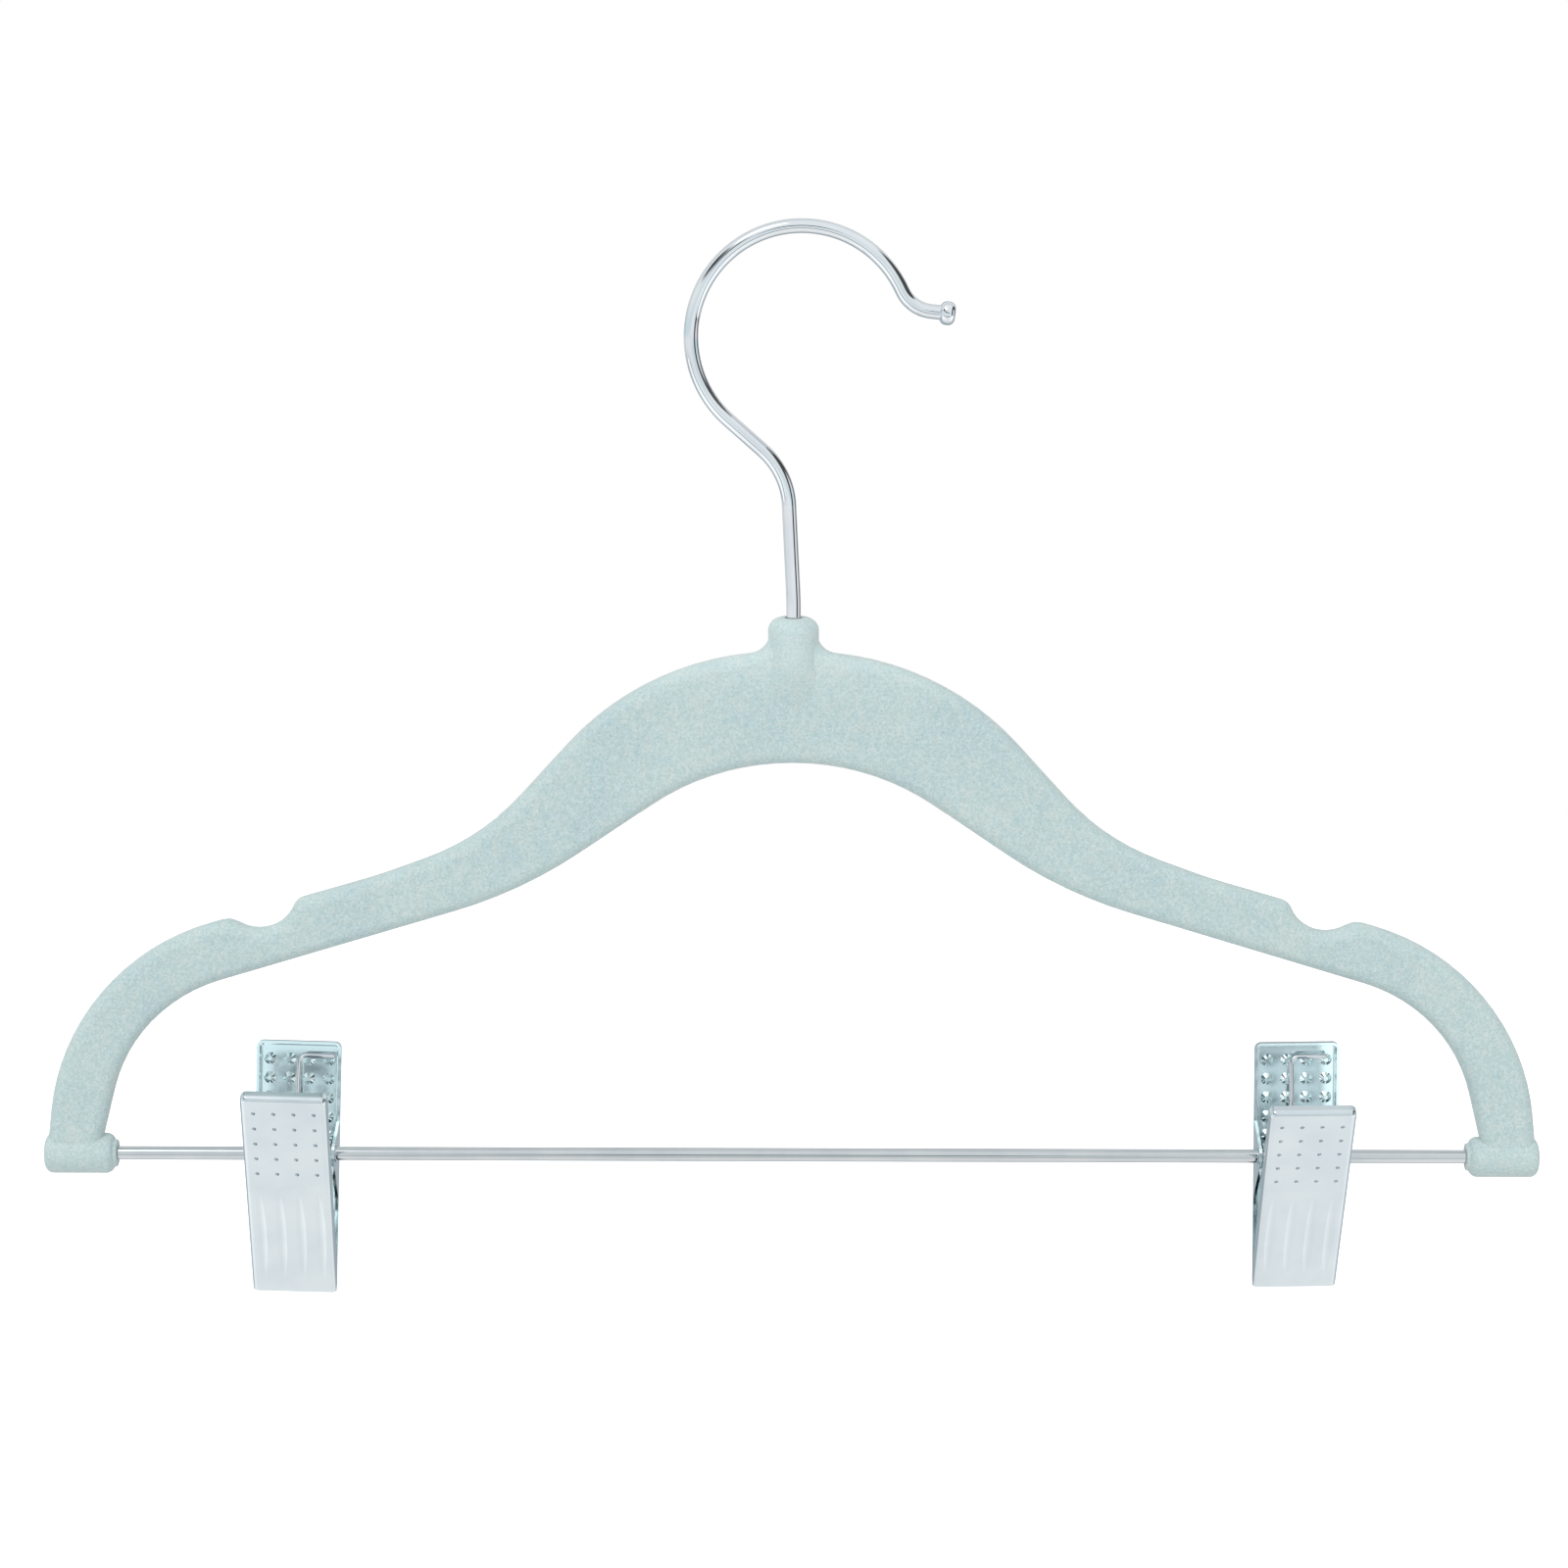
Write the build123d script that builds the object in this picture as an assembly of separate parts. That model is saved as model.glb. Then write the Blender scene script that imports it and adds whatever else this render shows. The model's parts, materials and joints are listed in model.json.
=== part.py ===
from build123d import *
import math
import os

# A clip hanger for skirts and trousers: a wire hook that turns in the neck of a flocked
# moulding, a steel bar between its two feet, and two sprung clips that slide on the bar.
# The origin is on the inside of the hook, where it rests on a rail, right above the swivel
# axis. +X runs along the bar, -Y is the front and +Z is up.

# Overall sizes, in millimetres
overall_width = 356.0
crown_over_bar = 121.8
neck_over_crown = 8.1
seat_over_neck = 88.1

# Flocked moulding: arms
body_thickness = 7.0
body_edge_radius = 2.9
crown_depth = 26.1
arm_width_at_foot = 12.4
arm_setback = 0.4
notch_from_arm_end = 51.9
notch_radius = 9.0
notch_depth = 4.4
notch_inner_lip_radius = 3.6
notch_outer_lip_radius = 5.5

# Corners of the arm's upper edge: shares of the half width and of the crown's height, then
# the share of the shorter run beside each corner that its round takes up
upper_corner_shares = [
    (0.184, 1.0, 0.98),
    (0.412, 0.634, 0.54),
    (0.55, 0.56, 0.15),
    (0.967, 0.381, 0.77),
]
# The same for the lower edge, with shares of the inner half width
lower_end_share = (0.942, 0.301, 0.57)
lower_shoulder_share = (0.385, 0.531, 0.3)
lower_crown_share = (0.11, 0.98)
edge_radius_limit_share = 0.9

# Flocked moulding: feet
foot_length = 17.1
foot_diameter = 9.6
foot_edge_radius = 2.0
foot_nose_length = 0.6
foot_nose_root_diameter = 8.0
foot_nose_diameter = 6.4
bar_engagement = 11.0
bar_seat_clearance = 0.05

# Flocked moulding: neck
neck_diameter = 11.8
neck_shoulder_radius = 3.0
neck_tab_width = 11.0
neck_flare_radius = 5.0
neck_root_depth = 15.0
neck_root_width = 20.0
neck_root_share = 0.94
neck_section_count = 5
hook_hole_clearance = 0.4
head_roof_thickness = 9.0
head_play = 0.1
head_side_clearance = 0.3

# Hook
hook_wire = 3.3
hook_radius = 25.2
hook_offset = 1.6
hook_bend_under_arc = 5.7
hook_bend_offset = 3.1
hook_bend_radius = 18.0
stem_lean_over_neck = 4.0
stem_lean_radius = 60.0
hook_tip_angle = 25.0
tip_curl_radius = 8.2
tip_curl_angle = 59.0
tip_straight = 3.8
tip_bead_diameter = 5.4
tip_bead_length = 3.5
tip_bead_edge = 1.5
head_diameter = 5.6
head_height = 2.4

# Bar
bar_diameter = 3.2
bar_chamfer = 0.4

# Clips: where they stand, as shares of the way from the middle to a foot, and how far they
# have swung about the bar and tipped on it in the play of their ears, in degrees
left_clip_share = -0.74
right_clip_share = 0.755
left_clip_swing_angle = 8.3
right_clip_swing_angle = 14.2
left_clip_tip_angle = 1.6
right_clip_tip_angle = -1.0

# Clip plates
plate_length = 61.0
plate_top_width = 20.3
plate_tip_width = 20.3
plate_sheet = 0.7
plate_corner_radius = 1.6
plate_bend_radius = 1.3
flange_depth = 2.0
jaw_angle = 30.9
bar_over_tip = 36.5
jaw_gap = 0.1
ear_radius = 3.4
ear_hole_clearance = 0.45
ear_upper_reach = 7.5
ear_lower_reach = 14.0
ear_gap = 0.3
ear_step_height = 1.5

# Dimples and flutes pressed into the plates
dimple_columns = 4
dimple_rows = 5
dimple_column_pitch = 4.7
dimple_row_pitch = 4.65
dimple_from_top = 4.6
dimple_base_radius = 1.45
dimple_top_radius = 0.55
dimple_height = 0.75
pit_mouth_radius = 0.5
pit_floor_radius = 0.25
pit_depth = 0.6
pit_side_count = 8
flute_width = 2.4
flute_depth = 0.35
flute_start = 5.0
flute_end = 31.5

# Clip spring, whose coil and legs take up shares of the room between the inner ears
spring_wire = 1.2
spring_pitch = 1.8
spring_bar_clearance = 0.45
spring_ear_clearance = 0.4
spring_leg_clearance = 0.1
spring_leg_from_top = 3.4
spring_leg_bend = 2.0
spring_coil_share = 0.39
spring_leg_share = 0.49
left_spring_shift = 1.6
right_spring_shift = 0
gap_sample_count = 4
gap_skip_count = 3

# One overrun for every cut
overrun = 5.0
match_tolerance = 0.01

# Sizes that follow
neck_top_over_bar = crown_over_bar + neck_over_crown
bar_height = -(neck_top_over_bar + seat_over_neck)
arm_outer_half = overall_width / 2 - arm_setback
arm_inner_half = arm_outer_half - arm_width_at_foot
body_half_thickness = body_thickness / 2
foot_inner_face = overall_width / 2 - foot_length
half_jaw = math.radians(jaw_angle / 2)
ear_along = bar_over_tip * math.cos(half_jaw)
ear_across = bar_over_tip * math.sin(half_jaw)
plate_taper = (plate_top_width - plate_tip_width) / 2 / plate_length
pit_slope = math.degrees(math.atan2(pit_mouth_radius - pit_floor_radius, pit_depth))
inner_ear_inset = plate_sheet + ear_gap
ear_room = plate_tip_width + 2 * (plate_taper * ear_along - inner_ear_inset - plate_sheet)


def unit(vector):
    """The vector at a length of one."""
    return vector / vector.length


def corner_radii(points, reach_shares):
    """Radii for the corners of a closed outline, each from the share of its shorter run."""
    radii = []
    count = len(points)
    for index, share in enumerate(reach_shares):
        before = Vector(points[index - 1]) - Vector(points[index])
        after = Vector(points[(index + 1) % count]) - Vector(points[index])
        turn = math.radians(180 - before.get_angle(after))
        reach = share * min(before.length, after.length)
        radii.append(reach / math.tan(turn / 2))
    return radii


def mirrored(points):
    """The same points on the other side of the middle, in the order that closes a loop."""
    return [(-x, z) for x, z in reversed(points)]


# Hanger body
def arm_outline():
    """Corner points of the right half, from the upper crown round the foot and back. The
    corners inside the foot stay square."""
    upper = [(x * arm_outer_half, z * crown_over_bar) for x, z, _ in upper_corner_shares]
    upper_reach = [reach for _, _, reach in upper_corner_shares]
    end_place, end_height, end_reach = lower_end_share
    shoulder_place, shoulder_height, shoulder_reach = lower_shoulder_share
    crown_place, crown_reach = lower_crown_share
    foot = [(arm_outer_half, 0), (arm_inner_half, 0)]
    foot_reach = [0, 0]
    lower = [
        (end_place * arm_inner_half, end_height * crown_over_bar),
        (shoulder_place * arm_inner_half, shoulder_height * crown_over_bar),
        (crown_place * arm_inner_half, crown_over_bar - crown_depth),
    ]
    lower_reach = [end_reach, shoulder_reach, crown_reach / 2]
    upper_reach[0] = upper_reach[0] / 2
    return upper + foot + lower, upper_reach + foot_reach + lower_reach


def notch_centre():
    """Centre of the strap notch's round, over the straight run of the upper edge."""
    place = arm_outer_half - notch_from_arm_end
    inner, outer = [(x * arm_outer_half, z * crown_over_bar) for x, z, _ in upper_corner_shares[2:]]
    share = (place - inner[0]) / (outer[0] - inner[0])
    edge_height = inner[1] + share * (outer[1] - inner[1])
    return place, edge_height + notch_radius - notch_depth


def body_plate():
    """The flat part of the moulding, with its neck tab, strap notches and round edges."""
    half, reaches = arm_outline()
    points = half + mirrored(half)
    radii = corner_radii(points, reaches + reaches[::-1])
    face = make_face(FilletPolyline(*points, radius=radii, close=True))
    tab_top = neck_top_over_bar - neck_shoulder_radius
    tab_height = tab_top - crown_over_bar + crown_depth / 2
    face += Pos(0, tab_top - tab_height / 2) * Rectangle(neck_tab_width, tab_height)
    flare_corners = [
        corner
        for corner in face.vertices()
        if abs(abs(corner.X) - neck_tab_width / 2) < match_tolerance and corner.Y < tab_top - match_tolerance
    ]
    face = fillet(flare_corners, neck_flare_radius)
    place, height = notch_centre()
    for side in (-1, 1):
        face -= Pos(side * place, height) * Circle(notch_radius)
    plate = extrude(Plane.XZ * face, body_half_thickness, both=True)
    for wanted, radius in ((min, notch_inner_lip_radius), (max, notch_outer_lip_radius)):
        lips = [notch_lip(plate, side, place, height, wanted) for side in (-1, 1)]
        plate = fillet(lips, radius)
    rims = plate.faces().filter_by(Axis.Y).edges()
    wall = min(notch_inner_lip_radius, body_half_thickness)
    return fillet(rims, min(body_edge_radius, edge_radius_limit_share * wall))


def notch_lip(plate, side, place, height, wanted):
    """The edge where one end of a notch meets the arm's upper edge."""
    lips = [
        edge
        for edge in plate.edges().filter_by(Axis.Y)
        if abs(math.hypot(edge.center().X - side * place, edge.center().Z - height) - notch_radius)
        < match_tolerance
    ]
    return wanted(lips, key=lambda edge: abs(edge.center().X))


def neck_column():
    """The round neck, drawn out wide and flat as it runs down into the moulding."""
    column_height = neck_top_over_bar - crown_over_bar
    upright = (Align.CENTER, Align.CENTER, Align.MIN)
    column = Pos(0, 0, crown_over_bar) * Cylinder(neck_diameter / 2, column_height, align=upright)
    column = fillet(column.edges().group_by(Axis.Z)[-1], neck_shoulder_radius)
    sections = []
    for step in range(neck_section_count):
        share = step / (neck_section_count - 1)
        spread = (1 - math.cos(math.pi * share)) / 2
        half_width = neck_diameter / 2 + spread * (neck_root_width - neck_diameter) / 2
        half_depth = neck_diameter / 2 + spread * (neck_root_share * body_half_thickness - neck_diameter / 2)
        place = Pos(0, 0, crown_over_bar - share * neck_root_depth)
        sections.append(place * Ellipse(half_width, half_depth))
    return column + loft(sections)


def neck_bore():
    """The hole that the hook turns in, with the chamber for its head."""
    hole_radius = hook_wire / 2 + hook_hole_clearance
    chamber_radius = head_diameter / 2 + head_side_clearance
    chamber_top = neck_top_over_bar - head_roof_thickness
    chamber_height = head_height + head_play + head_side_clearance
    hole_height = head_roof_thickness + overrun
    hole = Pos(0, 0, chamber_top + hole_height / 2) * Cylinder(hole_radius, hole_height)
    chamber = Pos(0, 0, chamber_top - chamber_height / 2) * Cylinder(chamber_radius, chamber_height)
    return hole + chamber


def foot(side):
    """A barrel at the end of an arm, round the bar's axis, with a low nose round the bar."""
    length = foot_length - foot_nose_length
    barrel = Cylinder(foot_diameter / 2, length, rotation=(0, 90, 0))
    barrel = fillet(barrel.edges().filter_by(GeomType.CIRCLE), foot_edge_radius)
    nose_height = foot_nose_length + foot_edge_radius
    nose = Cone(foot_nose_root_diameter / 2, foot_nose_diameter / 2, nose_height)
    nose_place = Plane(origin=(side * (foot_inner_face + nose_height / 2), 0, 0), z_dir=(-side, 0, 0))
    return Pos(side * (overall_width / 2 - length / 2), 0, 0) * barrel + nose_place * nose


def foot_bore(side):
    """The blind seat of the bar in a foot."""
    depth = bar_engagement + overrun
    radius = bar_diameter / 2 + bar_seat_clearance
    seat = Cylinder(radius, depth, rotation=(0, 90, 0))
    return Pos(side * (foot_inner_face + bar_engagement - depth / 2), 0, 0) * seat


def hanger_body():
    body = body_plate() + neck_column()
    for side in (-1, 1):
        body += foot(side)
    body -= neck_bore()
    for side in (-1, 1):
        body -= foot_bore(side)
    return Pos(0, 0, bar_height) * body


# Bar
def clip_bar():
    length = 2 * (foot_inner_face + bar_engagement - bar_seat_clearance)
    bar = Cylinder(bar_diameter / 2, length, rotation=(0, 90, 0))
    bar = chamfer(bar.edges().filter_by(GeomType.CIRCLE), bar_chamfer)
    return Pos(0, 0, bar_height) * bar


# Hook
def hook():
    """One wire from its head in the neck to the bead on its tip."""
    inner_radius = hook_radius - hook_wire / 2
    centre = Vector(hook_offset, -math.sqrt(inner_radius**2 - hook_offset**2))
    bend = centre - Vector(hook_bend_offset, hook_radius + hook_bend_under_arc)
    head_top = bar_height + neck_top_over_bar - head_roof_thickness - head_play
    lean = Vector(0, bar_height + neck_top_over_bar + stem_lean_over_neck)
    to_bend = bend - centre
    bend_angle = math.degrees(math.atan2(to_bend.Y, to_bend.X))
    touch_angle = bend_angle - math.degrees(math.acos(hook_radius / to_bend.length))
    touch = centre + Vector(hook_radius, 0).rotate(Axis.Z, touch_angle)
    stem = FilletPolyline(
        (0, head_top - head_height / 2), lean, bend, touch, radius=[stem_lean_radius, hook_bend_radius]
    )
    arc = CenterArc(centre, hook_radius, touch_angle % 360, hook_tip_angle - touch_angle % 360)
    curl = JernArc(arc @ 1, arc % 1, tip_curl_radius, tip_curl_angle)
    end = curl @ 1 + (curl % 1) * tip_straight
    straight = Line(curl @ 1, end)
    path = Plane.XZ * Wire(stem.edges() + arc.edges() + curl.edges() + straight.edges())
    start = Plane(origin=(0, 0, head_top - head_height / 2), z_dir=(0, 0, 1))
    wire = sweep(start * Circle(hook_wire / 2), path=path)
    head = Pos(0, 0, head_top - head_height / 2) * Cylinder(head_diameter / 2, head_height)
    bead_direction = Plane.XZ.from_local_coords(curl % 1) - Plane.XZ.from_local_coords(Vector(0, 0))
    bead_place = Plane(origin=Plane.XZ.from_local_coords(end), z_dir=bead_direction)
    bead = Cylinder(tip_bead_diameter / 2, tip_bead_length)
    bead = fillet(bead.edges().filter_by(GeomType.CIRCLE), tip_bead_edge)
    return wire + head + bead_place * bead


# Clip plates, drawn flat: X across, Y from the tip to the tail, Z inwards from the inner face
def plate_outline(inset):
    """The plate's tapered outline, drawn in by a sheet or more."""
    top = plate_length - inset
    stretch = overrun * (inset > 0)
    tip_half = plate_tip_width / 2 - inset - stretch * plate_taper
    top_half = plate_top_width / 2 - inset - inset * plate_taper
    outline = make_face(
        Polyline((-tip_half, -stretch), (tip_half, -stretch), (top_half, top), (-top_half, top), close=True)
    )
    corners = outline.vertices().group_by(Axis.Y)[-1]
    return fillet(corners, plate_corner_radius - min(inset, plate_sheet))


def standing_tray(height, inset):
    """A sheet with walls on three sides, its bends rounded inside and out."""
    outer = Pos(0, 0, -plate_sheet) * extrude(plate_outline(inset), height + plate_sheet)
    outer_bends = outer.edges().group_by(Axis.Z)[0].filter_by_position(Axis.Y, overrun, plate_length)
    outer = fillet(outer_bends, plate_bend_radius)
    inner = extrude(plate_outline(inset + plate_sheet), height + overrun)
    inner_bends = inner.edges().group_by(Axis.Z)[0].filter_by_position(Axis.Y, 0, plate_length)
    inner = fillet(inner_bends, plate_bend_radius - plate_sheet)
    return outer - inner


def across(profile, width):
    """A profile drawn along the plate and inwards, made solid across the plate."""
    side_plane = Plane(origin=(0, 0, 0), x_dir=(0, 1, 0), z_dir=(1, 0, 0))
    return extrude(side_plane * profile, width / 2, both=True)


def flange_profile():
    """Side view of the flanges, cut back to the clip's middle plane towards the tip."""
    tail = plate_length + overrun
    free_start = (flange_depth + jaw_gap) / math.tan(half_jaw)
    return make_face(
        Polyline(
            (-overrun, -overrun),
            (tail, -overrun),
            (tail, flange_depth),
            (free_start, flange_depth),
            (jaw_gap / math.tan(half_jaw), 0),
            (-overrun, 0),
            close=True,
        )
    )


def ear_profile():
    """Side view of an ear: a ring round the bar, with straight flanks down to the plate."""
    ring = Pos(ear_along, ear_across) * Circle(ear_radius)
    base = Line((ear_along - ear_lower_reach, 0), (ear_along + ear_upper_reach, 0))
    return make_hull(ring.edges() + base.edges())


def ear_hole():
    hole = Pos(ear_along, ear_across) * Circle(bar_diameter / 2 + ear_hole_clearance)
    return across(hole, plate_top_width + overrun)


def plate_blank(ear_inset):
    """The bent sheet before pressing, with ears in line with its flanges or set inwards."""
    width = plate_top_width + overrun
    ear_height = ear_across + ear_radius
    tray = standing_tray(ear_height, 0) & across(flange_profile() + ear_profile(), width)
    if ear_inset:
        ears = standing_tray(ear_height, ear_inset) & across(ear_profile(), width)
        step_sheet = Pos(0, 0, ear_step_height / 2) * Box(width, 2 * plate_length, ear_step_height)
        steps = standing_tray(ear_height, 0) & across(ear_profile(), width) & step_sheet
        tray = (standing_tray(flange_depth, 0) & across(flange_profile(), width)) + ears + steps
        core = extrude(plate_outline(ear_inset + plate_sheet), ear_height + overrun)
        rim = extrude(plate_outline(plate_sheet), ear_step_height) - core
        tray += across(ear_profile(), width) & rim
    return tray - ear_hole()


def dimple_places():
    """Centres of the dimples, column by column from the tail."""
    places = []
    for column in range(dimple_columns):
        across_place = (column - (dimple_columns - 1) / 2) * dimple_column_pitch
        for row in range(dimple_rows):
            places.append((across_place, plate_length - dimple_from_top - row * dimple_row_pitch))
    return places


def flute_rib():
    """A long low rib that runs out to nothing at both ends, standing on the inner face."""
    round_radius = flute_width**2 / flute_depth / 8 + flute_depth / 2
    axis_depth = round_radius - flute_depth
    rise = SagittaArc((flute_start, 0), (flute_end, 0), flute_depth)
    profile = rise + Polyline(
        (flute_end, 0), (flute_end, -axis_depth), (flute_start, -axis_depth), (flute_start, 0)
    )
    side_plane = Plane(origin=(0, 0, 0), x_dir=(0, 1, 0), z_dir=(1, 0, 0))
    axis = Axis((0, 0, -axis_depth), (0, 1, 0))
    spindle = revolve(side_plane * make_face(profile), axis)
    length = flute_end - flute_start
    slab = Pos(0, flute_start + length / 2, flute_depth) * Box(2 * flute_width, length, 2 * flute_depth)
    return spindle & slab


def pressed(blank):
    """The plate with its dimples and flutes, hollow outside and raised inside."""
    raised = []
    sunk = []
    base_up = (Align.CENTER, Align.CENTER, Align.MIN)
    knob = Cone(dimple_base_radius, dimple_top_radius, dimple_height, align=base_up)
    pit = extrude(RegularPolygon(pit_mouth_radius, pit_side_count), pit_depth, taper=pit_slope)
    for x, y in dimple_places():
        raised.append(Pos(x, y, 0) * knob)
        sunk.append(Pos(x, y, -plate_sheet) * pit)
    rib = flute_rib()
    for column in range(dimple_columns):
        x = (column - (dimple_columns - 1) / 2) * dimple_column_pitch
        raised.append(Pos(x, 0, 0) * rib)
        sunk.append(Pos(x, 0, -plate_sheet) * rib)
    return blank + raised - sunk


def plate_place(front):
    """Where a plate stands in its closed clip, whose bar is at the origin."""
    facing = 1 if front else -1
    inwards = Vector(0, facing * math.cos(half_jaw), math.sin(half_jaw))
    tip = Vector(0, 0, -bar_over_tip) - inwards * (jaw_gap / 2)
    return Plane(origin=tip, x_dir=(-facing, 0, 0), z_dir=inwards)


# Clip spring
def biarc(start, start_direction, end, end_direction):
    """Two arcs that leave and arrive along the given directions and meet without a kink."""
    chord = end - start
    along = chord.dot(start_direction + end_direction)
    spread = 2 * (1 - start_direction.dot(end_direction))
    handle = (math.sqrt(along**2 + spread * chord.dot(chord)) - along) / spread
    start_handle = start + start_direction * handle
    end_handle = end - end_direction * handle
    middle = (start_handle + end_handle) / 2
    middle_direction = unit(end_handle - start_handle)
    first = Edge.make_tangent_arc(start, start_direction, middle)
    second = Edge.make_tangent_arc(middle, middle_direction, end)
    return [first, second]


def leg_corner(front):
    """Where a spring leg bends to lie across its plate, from the bar's axis."""
    inset = dimple_height + spring_leg_clearance + spring_wire / 2
    along = plate_length - spring_leg_from_top
    inner = plate_place(front)
    corner = inner.from_local_coords(Vector(0, along, inset))
    return Vector(corner.Y, corner.Z)


def spring_path():
    """The spring's centre line: a leg on the front plate, the coil, a leg on the back plate."""
    coil_radius = bar_diameter / 2 + spring_bar_clearance + spring_wire / 2
    coil_room = spring_coil_share * ear_room
    full_turns = math.ceil(coil_room / spring_pitch)
    back_corner = leg_corner(False)
    rise = math.atan2(back_corner.Y, back_corner.X)
    leave = rise - math.acos(coil_radius / back_corner.length)
    enter = math.pi - leave
    turn = 2 * math.pi * full_turns + leave - enter
    climb = spring_pitch / (2 * math.pi)
    front_place = spring_ear_clearance + spring_wire / 2 - ear_room / 2

    def point(angle):
        height = front_place + climb * (angle - enter)
        return Vector(height, coil_radius * math.cos(angle), coil_radius * math.sin(angle))

    def direction(angle):
        level = angle in (enter, enter + turn)
        advance = 0 if level else climb
        return unit(Vector(advance, -coil_radius * math.sin(angle), coil_radius * math.cos(angle)))

    steps = math.ceil(turn / math.pi)
    angles = [enter + turn * step / steps for step in range(steps + 1)]
    coil = []
    for first, last in zip(angles, angles[1:]):
        coil += biarc(point(first), direction(first), point(last), direction(last))
    leg_length = math.sqrt(back_corner.length**2 - coil_radius**2)
    front_bend = point(enter) - direction(enter) * leg_length
    back_bend = point(enter + turn) + direction(enter + turn) * leg_length
    sideways = Vector(spring_leg_share * ear_room, 0, 0)
    front_leg = FilletPolyline(front_bend + sideways, front_bend, point(enter), radius=[spring_leg_bend])
    back_leg = FilletPolyline(
        point(enter + turn), back_bend, back_bend + sideways, radius=[spring_leg_bend]
    )
    return Wire(front_leg.edges() + coil + back_leg.edges())


def least_gap(path, diameter):
    """The smallest gap between stretches of a tube that lie more than three widths apart."""
    spacing = diameter / gap_sample_count
    count = math.ceil(path.length / spacing)
    points = [path.position_at(step / count) for step in range(count + 1)]
    apart = gap_sample_count * gap_skip_count
    nearest = min(
        (points[later] - points[first]).length
        for first in range(len(points))
        for later in range(first + apart, len(points))
    )
    return nearest - diameter


def clip_spring():
    path = spring_path()
    start = Plane(origin=path.position_at(0), z_dir=path.tangent_at(0))
    print("spring: least gap to itself", round(least_gap(path, spring_wire), 2), "mm")
    return sweep(start * Circle(spring_wire / 2), path=path)


# The nodes
os.makedirs("parts", exist_ok=True)
nodes = {"hook": hook(), "hanger_body": hanger_body(), "clip_bar": clip_bar()}

front_plate = plate_place(True) * pressed(plate_blank(inner_ear_inset))
back_plate = plate_place(False) * pressed(plate_blank(0))
spring = clip_spring()
clips = {
    "left": (left_clip_share, left_clip_swing_angle, left_clip_tip_angle, left_spring_shift),
    "right": (right_clip_share, right_clip_swing_angle, right_clip_tip_angle, right_spring_shift),
}
for name, (share, swing_angle, tip_angle, spring_shift) in clips.items():
    station = Pos(share * foot_inner_face, 0, bar_height) * Rot(swing_angle, 0, 0) * Rot(0, tip_angle, 0)
    nodes[name + "_clip_front_plate"] = station * front_plate
    nodes[name + "_clip_back_plate"] = station * back_plate
    nodes[name + "_clip_spring"] = station * Pos(spring_shift, 0, 0) * spring

for name, shape in nodes.items():
    export_step(shape, f"parts/{name}.step")
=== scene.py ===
import json
import math

import bpy
from mathutils import Matrix, Vector

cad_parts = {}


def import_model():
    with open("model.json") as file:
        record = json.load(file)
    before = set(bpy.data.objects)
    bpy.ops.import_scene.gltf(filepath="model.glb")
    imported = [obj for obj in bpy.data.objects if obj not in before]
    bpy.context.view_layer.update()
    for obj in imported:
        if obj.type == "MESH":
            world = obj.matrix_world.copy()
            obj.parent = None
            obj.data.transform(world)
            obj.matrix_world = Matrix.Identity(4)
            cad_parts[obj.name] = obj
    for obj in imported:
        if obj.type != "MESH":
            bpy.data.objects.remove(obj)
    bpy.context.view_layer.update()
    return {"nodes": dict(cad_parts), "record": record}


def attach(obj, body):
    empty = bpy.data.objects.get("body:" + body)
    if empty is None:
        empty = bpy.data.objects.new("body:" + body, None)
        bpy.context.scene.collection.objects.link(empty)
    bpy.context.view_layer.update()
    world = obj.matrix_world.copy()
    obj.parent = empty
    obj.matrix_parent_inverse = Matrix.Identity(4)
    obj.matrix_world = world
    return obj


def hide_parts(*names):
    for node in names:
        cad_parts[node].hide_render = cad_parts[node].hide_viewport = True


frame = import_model()

MM = 0.001

# Spring, in metres and degrees, as the solids have it
WIRE_RADIUS = 0.6 * MM
COIL_RADIUS = 2.65 * MM
COIL_PITCH = 1.8 * MM
FULL_TURNS = 4
BAR_OVER_TIP = 36.5 * MM
JAW_ANGLE = math.radians(30.9)
LEG_CORNER_ALONG = 57.6 * MM
LEG_CORNER_INSET = 1.45 * MM
LEG_BEND = 2.0 * MM
BEND_STEPS = 10
LEG_ACROSS = 8.281 * MM
COIL_START = -7.45 * MM
COIL_STEP = math.radians(12)
FRONT_OVERLAP = math.radians(60)
# The front leg is drawn a little thinner, so that its overlap lies inside the coil
FRONT_SLIMNESS = 0.985
TUBE_SIDES = 18
# Rings that round a wire's end, in wire radii: how far in each lies, below 0 past the end, and how wide
WIRE_END = ((-0.35, 0.62), (-0.12, 0.92))
# How far each clip has swung about the bar and tipped on it, and how far its spring has shifted
CLIPS = {
    "left": (math.radians(8.3), math.radians(1.6), 1.6 * MM),
    "right": (math.radians(14.2), math.radians(-1.0), 0.0),
}

# Camera
CAMERA_ELEVATION = math.radians(12.0)
CAMERA_DISTANCE = 0.8595
CAMERA_TARGET = Vector((-0.0021, 0.0, -0.1275))
CAMERA_LENS = 84.46
CAMERA_ROLL = math.radians(0.17)

# Body, with painted light that makes the nap lighter on the neck
CROWN_TOP = -0.108
NECK_LIGHT_RISE = 12 * MM

# Stage
FLOOR_HEIGHT = -0.62
FLOOR_RADIUS = 2.2
FLOOR_SIDES = 96

# Doorway, a row of dark patches that climbs to the left, in degrees as the hanger sees it
DOORWAY_PATCHES = 4
DOORWAY_AZIMUTH_STEP = -20
DOORWAY_ELEVATION = 9
DOORWAY_ELEVATION_STEP = 8
DOORWAY_OUTER = 6.5
DOORWAY_OUTER_STEP = 2
DOORWAY_INNER = 4
DOORWAY_INNER_STEP = 1.5
DOORWAY_COLOUR = (0.03, 0.035, 0.04)

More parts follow.
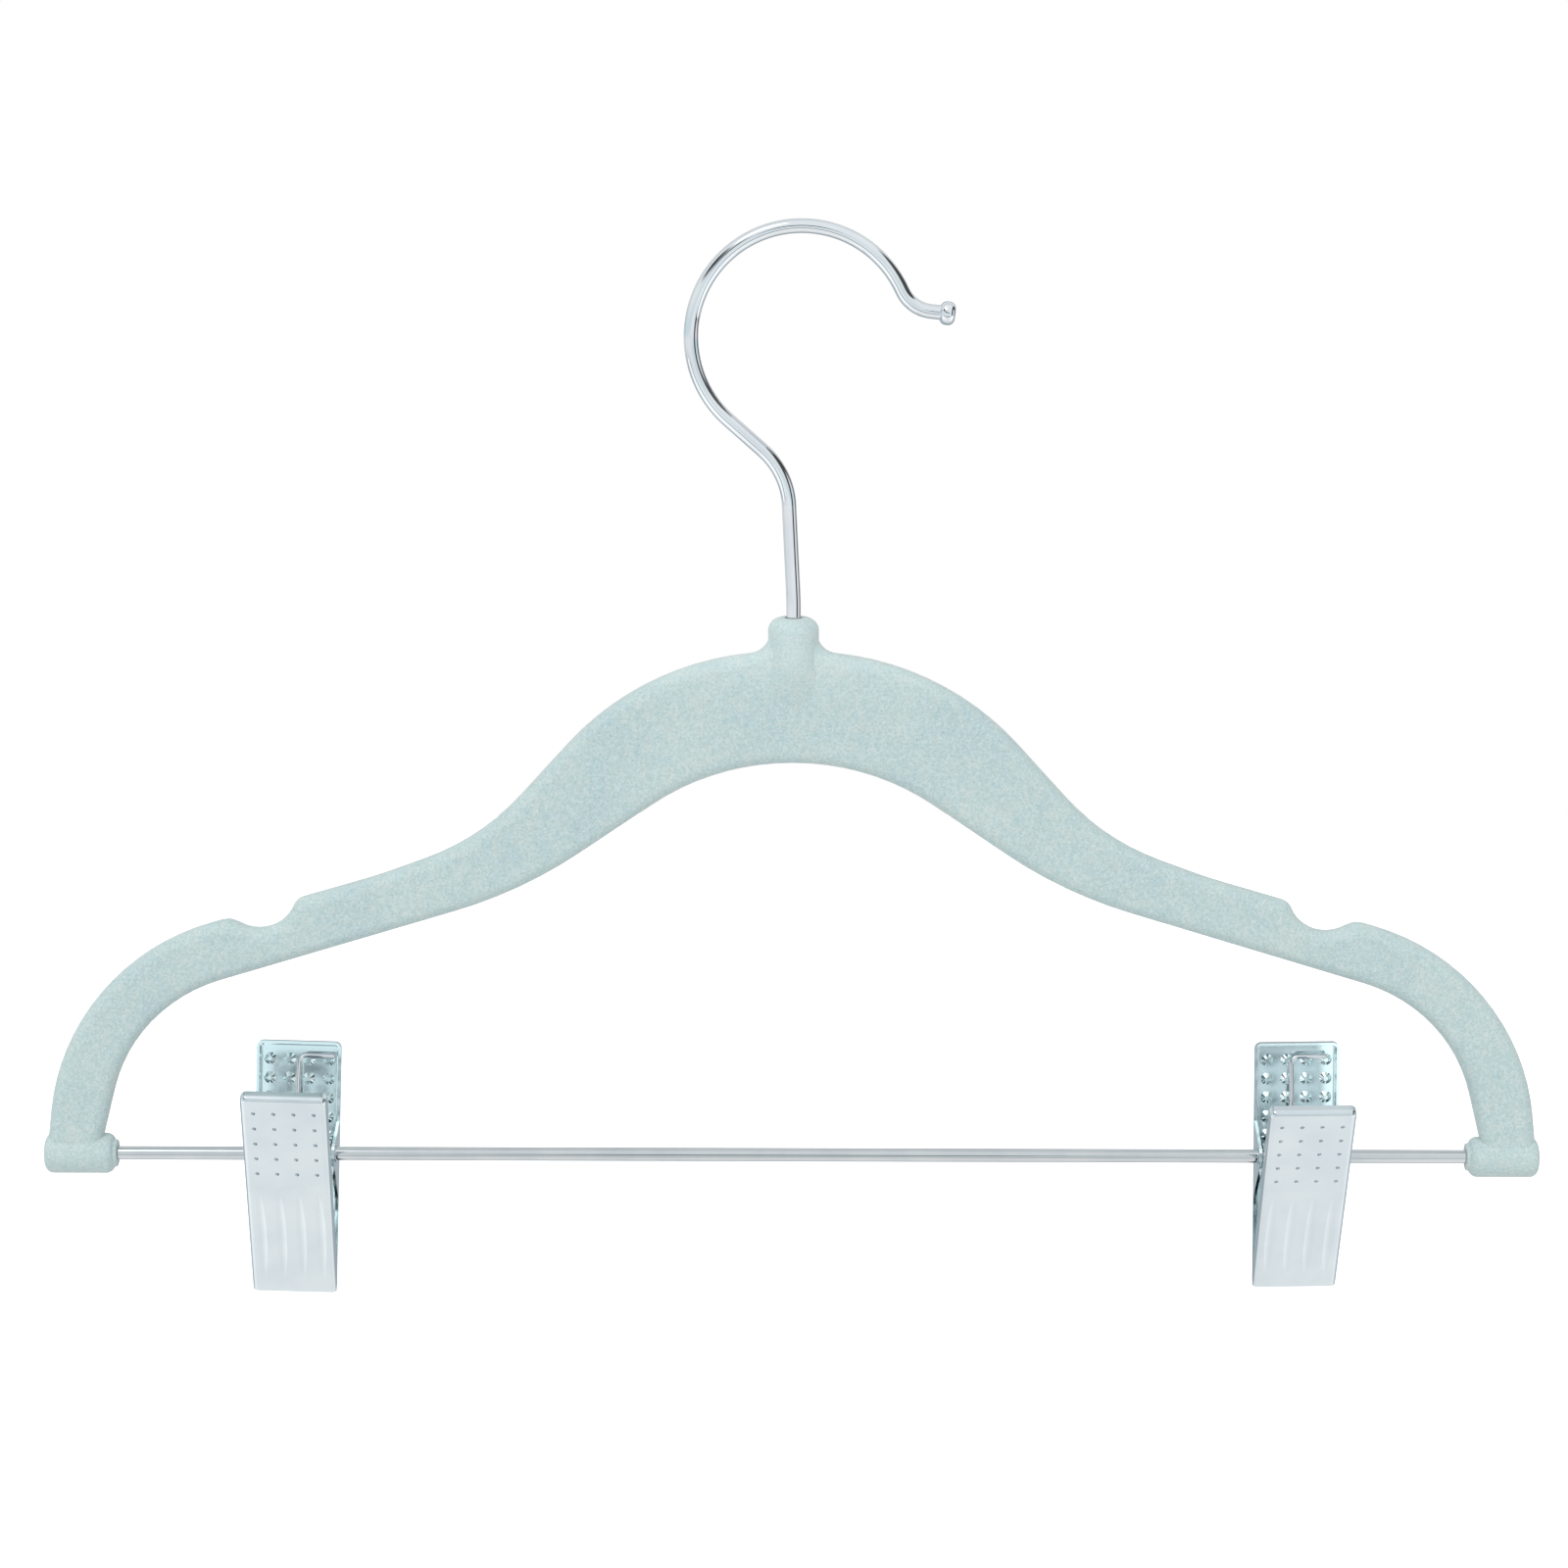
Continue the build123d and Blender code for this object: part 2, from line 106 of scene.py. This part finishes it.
# Window, one bright patch
WINDOW_AZIMUTH = -35
WINDOW_ELEVATION = 54
WINDOW_OUTER = 15
WINDOW_INNER = 10
WINDOW_COLOUR = (2.5, 2.5, 2.5)

# Lamps, each with its place and its power in watts
LAMP_SIZE = 1.2
LAMP_TARGET = Vector((0, 0, -0.12))
LAMPS = {
    "key": (Vector((-0.9, -1.3, 1.1)), 6.7),
    "fill": (Vector((1.1, -1.2, 0.5)), 4.6),
}

# Plate on the clips; the back plates carry a brighter painted reflection on the face between the plates
CLIP_COLOUR = (0.68, 0.738, 0.762)
CLIP_SHADE = (0.63, 0.697, 0.728)
CLIP_PAINTED_REFLECTION = (0.87, 0.99, 1.0)


# Node helpers
def new_material(name):
    material = bpy.data.materials.new(name)
    material.use_nodes = True
    tree = material.node_tree
    shader = next(node for node in tree.nodes if node.type == "BSDF_PRINCIPLED")
    return material, tree, shader


def add(tree, kind, **settings):
    """A new node with its plain settings, and its inputs by name."""
    node = tree.nodes.new(kind)
    for key, value in settings.items():
        if key in node.inputs:
            node.inputs[key].default_value = value
        else:
            setattr(node, key, value)
    return node


def noise(tree, place, scale, detail, roughness):
    texture = add(tree, "ShaderNodeTexNoise", Scale=scale, Detail=detail, Roughness=roughness)
    tree.links.new(place, texture.inputs["Vector"])
    return texture.outputs["Fac"]


def axes(tree, vector):
    """The outputs X, Y and Z of a vector."""
    node = tree.nodes.new("ShaderNodeSeparateXYZ")
    tree.links.new(vector, node.inputs[0])
    return node.outputs


def ramp(tree, value, stops):
    """Colours or greys by a value, between the stops given."""
    node = tree.nodes.new("ShaderNodeValToRGB")
    points = node.color_ramp.elements
    while len(points) < len(stops):
        points.new(0.5)
    for point, (place, colour) in zip(points, stops):
        point.position = place
        point.color = (*colour, 1) if isinstance(colour, tuple) else (colour, colour, colour, 1)
    tree.links.new(value, node.inputs["Fac"])
    return node.outputs["Color"]


def mix(tree, factor, first, second, blend="MIX"):
    node = tree.nodes.new("ShaderNodeMix")
    node.data_type = "RGBA"
    node.blend_type = blend
    for socket, value in ((node.inputs[0], factor), (node.inputs[6], first), (node.inputs[7], second)):
        if isinstance(value, bpy.types.NodeSocket):
            tree.links.new(value, socket)
        elif isinstance(value, tuple):
            socket.default_value = (*value, 1)
        else:
            socket.default_value = value
    return node.outputs[2]


def maths(tree, operation, *values):
    node = add(tree, "ShaderNodeMath", operation=operation)
    for value, socket in zip(values, node.inputs):
        tree.links.new(value, socket)
    return node.outputs[0]


def spread(tree, value, low, high):
    """A value spread over 0 to 1 between its two ends."""
    node = add(tree, "ShaderNodeMapRange")
    node.inputs["From Min"].default_value = low
    node.inputs["From Max"].default_value = high
    tree.links.new(value, node.inputs["Value"])
    return node.outputs["Result"]


def bump(tree, shader, painted_neck_light, distance, strength):
    node = add(tree, "ShaderNodeBump", Distance=distance, Strength=strength)
    tree.links.new(painted_neck_light, node.inputs["Height"])
    tree.links.new(node.outputs["Normal"], shader.inputs["Normal"])


def coordinates(tree, kind):
    return tree.nodes.new("ShaderNodeTexCoord").outputs[kind]


# Materials
def flock():
    """Short pale mint flock: fibre grain, soft clouding, painted light that makes the neck lighter, and a
    sheen at the edges.
    """
    material, tree, shader = new_material("flock")
    place = coordinates(tree, "Object")
    clouds = noise(tree, place, 55, 4.0, 0.55)
    tufts = noise(tree, place, 420, 3.0, 0.65)
    grain = noise(tree, place, 1900, 2.0, 0.7)
    nap = ramp(tree, clouds, [(0.3, (0.553, 0.660, 0.662)), (0.7, (0.600, 0.698, 0.681))])
    # Painted light: the nap is darker at the crown and grows lighter up the neck
    painted_neck_light = spread(tree, axes(tree, place)["Z"], CROWN_TOP, CROWN_TOP + NECK_LIGHT_RISE)
    nap = mix(tree, 1.0, nap, ramp(tree, painted_neck_light, [(0.0, (0.905, 0.92, 0.92)), (1.0, 1.0)]), "MULTIPLY")
    patches = ramp(tree, tufts, [(0.3, (0.46, 0.48, 0.50)), (0.7, (0.54, 0.52, 0.50))])
    speckle = ramp(tree, grain, [(0.25, 0.34), (0.75, 0.66)])
    colour = mix(tree, 0.8, mix(tree, 0.9, nap, patches, "OVERLAY"), speckle, "OVERLAY")
    tree.links.new(colour, shader.inputs["Base Color"])
    shader.inputs["Roughness"].default_value = 0.95
    shader.inputs["Specular IOR Level"].default_value = 0.15
    shader.inputs["Sheen Weight"].default_value = 0.5
    shader.inputs["Sheen Roughness"].default_value = 0.4
    shader.inputs["Sheen Tint"].default_value = (1.0, 0.94, 0.92, 1)
    bump(tree, shader, noise(tree, place, 1500, 3.0, 0.75), 0.16 * MM, 0.8)
    return material


def plated(name, colour, shade, rough, smooth, waves, painted_reflection=None):
    """Bright plate, a little clouded. Faces that look forward take a painted reflection colour, if given.
    """
    material, tree, shader = new_material(name)
    place = coordinates(tree, "Object")
    tint = ramp(tree, noise(tree, place, 90, 3.0, 0.5), [(0.35, shade), (0.65, colour)])
    if painted_reflection:
        # Painted reflection: faces that look forward get a brighter teal base colour
        facing = axes(tree, coordinates(tree, "Normal"))["Y"]
        tint = mix(tree, spread(tree, facing, 0.2, -0.2), tint, painted_reflection)
    tree.links.new(tint, shader.inputs["Base Color"])
    polish = noise(tree, place, 700, 3.0, 0.6)
    tree.links.new(ramp(tree, polish, [(0.3, smooth), (0.75, rough)]), shader.inputs["Roughness"])
    shader.inputs["Metallic"].default_value = 1.0
    bump(tree, shader, noise(tree, place, 420, 2.0, 0.5), 0.01 * MM, waves)
    return material


# Springs
def leg_corner():
    """Where the back leg bends to lie across its plate, from the bar's axis."""
    half = JAW_ANGLE / 2
    return Vector((
        0,
        LEG_CORNER_ALONG * math.sin(half) - LEG_CORNER_INSET * math.cos(half),
        LEG_CORNER_ALONG * math.cos(half) + LEG_CORNER_INSET * math.sin(half) - BAR_OVER_TIP,
    ))


def coil_place(angle, enter):
    climb = COIL_PITCH / (2 * math.pi)
    painted_neck_light = COIL_START + climb * (angle - enter)
    return Vector((painted_neck_light, COIL_RADIUS * math.cos(angle), COIL_RADIUS * math.sin(angle)))


def rounded_leg(touch, corner):
    """Points from the coil up a leg, round its bend and across the plate."""
    up = (corner - touch).normalized()
    across = Vector((1, 0, 0))
    points = [touch, touch.lerp(corner - up * LEG_BEND, 0.5)]
    centre = corner - up * LEG_BEND + across * LEG_BEND
    for step in range(BEND_STEPS + 1):
        turn = math.pi / 2 * step / BEND_STEPS
        points.append(centre + (up * math.sin(turn) - across * math.cos(turn)) * LEG_BEND)
    points.append(corner + across * LEG_ACROSS)
    return points


def tube(name, points, radius):
    """A round wire along the points, with rounded ends."""
    tangents = []
    for index, point in enumerate(points):
        before = points[max(index - 1, 0)]
        after = points[min(index + 1, len(points) - 1)]
        tangents.append((after - before).normalized())
    side = tangents[0].orthogonal().normalized()
    rings = []
    stations = [(points[0] + tangents[0] * radius * back, tangents[0], wide) for back, wide in WIRE_END]
    stations += [(point, tangent, 1.0) for point, tangent in zip(points, tangents)]
    stations += [
        (points[-1] - tangents[-1] * radius * back, tangents[-1], wide)
        for back, wide in reversed(WIRE_END)
    ]
    for point, tangent, wide in stations:
        side = (side - tangent * side.dot(tangent)).normalized()
        other = tangent.cross(side)
        rings.append([
            point + (side * math.cos(turn) + other * math.sin(turn)) * radius * wide
            for turn in (2 * math.pi * step / TUBE_SIDES for step in range(TUBE_SIDES))
        ])
    vertices = [corner for ring in rings for corner in ring]
    faces = []
    for ring in range(len(rings) - 1):
        here = ring * TUBE_SIDES
        ahead = here + TUBE_SIDES
        for step in range(TUBE_SIDES):
            following = (step + 1) % TUBE_SIDES
            faces.append((here + step, here + following, ahead + following, ahead + step))
    faces.append(tuple(reversed(range(TUBE_SIDES))))
    last = (len(rings) - 1) * TUBE_SIDES
    faces.append(tuple(range(last, last + TUBE_SIDES)))
    mesh = bpy.data.meshes.new(name)
    mesh.from_pydata(vertices, [], faces)
    for face in mesh.polygons:
        face.use_smooth = len(face.vertices) == 4
    mesh.update()
    piece = bpy.data.objects.new(name, mesh)
    bpy.context.scene.collection.objects.link(piece)
    return piece


def clip_spring(side, swing, tip, shift, material):
    """The coil with its back leg, and the front leg, each moving with its own plate."""
    corner = leg_corner()
    leave = math.atan2(corner.z, corner.y) - math.acos(COIL_RADIUS / corner.length)
    enter = math.pi - leave
    turn = 2 * math.pi * FULL_TURNS + leave - enter
    steps = math.ceil(turn / COIL_STEP)
    coil = [coil_place(enter + turn * step / steps, enter) for step in range(steps + 1)]
    back_corner = corner + Vector((coil[-1].x, 0, 0))
    back = coil + rounded_leg(coil[-1], back_corner)[1:]
    front_corner = Vector((coil[0].x, -corner.y, corner.z))
    front_leg = rounded_leg(coil[0], front_corner)
    steps = math.ceil(FRONT_OVERLAP / COIL_STEP)
    front_arc = [coil_place(enter + FRONT_OVERLAP * step / steps, enter) for step in range(steps + 1)]
    front = list(reversed(front_leg)) + front_arc[1:]
    joints = {joint["name"]: joint for joint in frame["record"]["behaviour"]["joints"]}
    hinge = joints[side + "_clip_swing"]
    station = Matrix.Translation(Vector(hinge["pos_m"])) @ Matrix.Rotation(swing, 4, "X")
    station = station @ Matrix.Rotation(tip, 4, "Y") @ Matrix.Translation((shift, 0, 0))
    pieces = (
        ("coil_and_back_leg", back, side + "_back", WIRE_RADIUS),
        ("front_leg", front, side + "_front", WIRE_RADIUS * FRONT_SLIMNESS),
    )
    for word, points, body, radius in pieces:
        piece = tube(f"{side}_spring_{word}", [station @ point for point in points], radius)
        piece.data.materials.append(material)
        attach(piece, body)
        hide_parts(side + "_clip_spring")


# Stage, light and camera
def stage():
    """A floor that is white to the camera and takes a shadow, and that shows bright metal painted
    reflections: tones it gives off only to glossy rays.
    """
    mesh = bpy.data.meshes.new("floor")
    rim = [
        (FLOOR_RADIUS * math.cos(turn), FLOOR_RADIUS * math.sin(turn), FLOOR_HEIGHT)
        for turn in (2 * math.pi * step / FLOOR_SIDES for step in range(FLOOR_SIDES))
    ]
    mesh.from_pydata(rim, [], [tuple(range(FLOOR_SIDES))])
    floor = bpy.data.objects.new("floor", mesh)
    bpy.context.scene.collection.objects.link(floor)
    material, tree, shader = new_material("floor")
    shader.inputs["Roughness"].default_value = 0.9
    place = axes(tree, coordinates(tree, "Object"))
    ahead = spread(tree, place["Y"], FLOOR_RADIUS, -FLOOR_RADIUS)
    beside = spread(tree, maths(tree, "ABSOLUTE", place["X"]), 0, FLOOR_RADIUS)
    # Painted reflections, given off only to glossy rays, from behind to ahead: dim, pale under the clips, a
    # dark strip, and bright at the far rim
    painted_reflection_tones = ramp(tree, ahead, [
        (0.44, (0.42, 0.48, 0.52)),
        (0.49, 1.20),
        (0.67, 1.16),
        (0.73, 0.32),
        (0.79, 0.32),
        (0.86, (1.10, 1.28, 1.32)),
    ])
    glow = mix(tree, 1.0, painted_reflection_tones, ramp(tree, beside, [(0.06, 0.80), (0.25, 1.0)]), "MULTIPLY")
    path = tree.nodes.new("ShaderNodeLightPath")
    mirrored = maths(tree, "MAXIMUM", path.outputs["Is Glossy Ray"], path.outputs["Is Transmission Ray"])
    # Painted reflection: to glossy rays the floor is nearly black and gives off its painted tones instead,
    # dimmed along the middle
    pale = mix(tree, mirrored, (0.82, 0.82, 0.82), (0.05, 0.05, 0.05))
    tree.links.new(pale, shader.inputs["Base Color"])
    seen = mix(tree, mirrored, (0.0, 0.0, 0.0), glow)
    white = mix(tree, path.outputs["Is Camera Ray"], seen, (0.6, 0.6, 0.6))
    tree.links.new(white, shader.inputs["Emission Color"])
    shader.inputs["Emission Strength"].default_value = 1.0
    mesh.materials.append(material)


def patch(tree, direction, azimuth, elevation, outer, inner):
    """How far a direction lies inside a round patch that fades in from outer to inner, in degrees."""
    azimuth, elevation, outer, inner = (math.radians(angle) for angle in (azimuth, elevation, outer, inner))
    flat = math.cos(elevation)
    middle = (flat * math.sin(azimuth), -flat * math.cos(azimuth), math.sin(elevation))
    nearness = add(tree, "ShaderNodeVectorMath", operation="DOT_PRODUCT")
    tree.links.new(direction, nearness.inputs[0])
    nearness.inputs[1].default_value = middle
    return spread(tree, nearness.outputs["Value"], math.cos(outer), math.cos(inner))


def world():
    """A white room, with cool tones at the horizon, dim sides, a dark doorway and a bright window."""
    world = bpy.data.worlds.new("studio")
    bpy.context.scene.world = world
    world.use_nodes = True
    tree = world.node_tree
    background = tree.nodes["Background"]
    direction = coordinates(tree, "Generated")
    along = axes(tree, direction)
    room = ramp(tree, spread(tree, along["Z"], -1, 1), [
        (0.38, (0.80, 0.86, 0.88)),
        (0.425, (0.97, 0.98, 1.00)),
        (0.45, (0.97, 0.98, 1.00)),
        (0.475, (0.72, 0.86, 0.90)),
        (0.51, (0.76, 0.87, 0.91)),
        (0.58, (0.92, 0.94, 0.95)),
        (0.80, (0.96, 1.00, 1.02)),
    ])
    back = ramp(tree, spread(tree, along["Y"], -1, 1), [
        (0.50, 1.0),
        (0.66, 0.78),
        (0.74, 0.78),
        (0.79, 1.0),
        (0.88, 1.0),
        (0.93, 0.42),
    ])
    side = ramp(tree, spread(tree, along["X"], -1, 1), [
        (0.84, 1.0),
        (0.88, 0.08),
        (0.96, 0.08),
        (0.985, 1.0),
    ])
    for shade in (back, side):
        room = mix(tree, 1.0, room, shade, "MULTIPLY")
    for step in range(DOORWAY_PATCHES):
        doorway = patch(
            tree, direction,
            DOORWAY_AZIMUTH_STEP * step,
            DOORWAY_ELEVATION + DOORWAY_ELEVATION_STEP * step,
            DOORWAY_OUTER + DOORWAY_OUTER_STEP * step,
            DOORWAY_INNER + DOORWAY_INNER_STEP * step,
        )
        room = mix(tree, doorway, room, DOORWAY_COLOUR)
    window = patch(tree, direction, WINDOW_AZIMUTH, WINDOW_ELEVATION, WINDOW_OUTER, WINDOW_INNER)
    room = mix(tree, window, room, WINDOW_COLOUR)
    path = tree.nodes.new("ShaderNodeLightPath")
    colour = mix(tree, path.outputs["Is Camera Ray"], room, (1.0, 1.0, 1.0))
    tree.links.new(colour, background.inputs["Color"])
    background.inputs["Strength"].default_value = 1.0


def lamp(name, place, power):
    """A disk of light that bright metal doesn't show."""
    light = bpy.data.lights.new(name, "AREA")
    light.shape = "DISK"
    light.size = LAMP_SIZE
    light.energy = power
    holder = bpy.data.objects.new(name, light)
    holder.visible_glossy = False
    bpy.context.scene.collection.objects.link(holder)
    holder.location = place
    holder.rotation_euler = (LAMP_TARGET - place).to_track_quat("-Z", "Y").to_euler()


def camera():
    data = bpy.data.cameras.new("camera")
    data.lens = CAMERA_LENS
    data.sensor_width = 36
    data.sensor_fit = "HORIZONTAL"
    holder = bpy.data.objects.new("camera", data)
    bpy.context.scene.collection.objects.link(holder)
    away = Vector((0, -math.cos(CAMERA_ELEVATION), math.sin(CAMERA_ELEVATION)))
    holder.location = CAMERA_TARGET + away * CAMERA_DISTANCE
    aim = (-away).to_track_quat("-Z", "Y").to_matrix() @ Matrix.Rotation(CAMERA_ROLL, 3, "Z")
    holder.rotation_euler = aim.to_euler()
    bpy.context.scene.camera = holder


materials = {
    "flock": flock(),
    "hook_wire": plated("hook_wire", (0.78, 0.81, 0.83), (0.73, 0.76, 0.79), 0.08, 0.04, 0.05),
    "bar_steel": plated("bar_steel", (0.62, 0.64, 0.65), (0.56, 0.59, 0.61), 0.08, 0.04, 0.05),
    "clip_plate": plated("clip_plate", CLIP_COLOUR, CLIP_SHADE, 0.17, 0.10, 0.12),
    "back_plate": plated("back_plate", CLIP_COLOUR, CLIP_SHADE, 0.16, 0.11, 0.05, CLIP_PAINTED_REFLECTION),
    "spring_steel": plated("spring_steel", (0.74, 0.76, 0.78), (0.62, 0.65, 0.68), 0.18, 0.10, 0.12),
}
for part in frame["record"]["subparts"]:
    node = frame["nodes"][part["node"]]
    node.data.materials.clear()
    wanted = "back_plate" if part["node"].endswith("back_plate") else part["material_slot"]
    node.data.materials.append(materials[wanted])
for side, (swing, tip, shift) in CLIPS.items():
    clip_spring(side, swing, tip, shift, materials["spring_steel"])

stage()
world()
for name, (place, power) in LAMPS.items():
    lamp(name, place, power)
camera()
bpy.context.scene.view_settings.view_transform = "Standard"
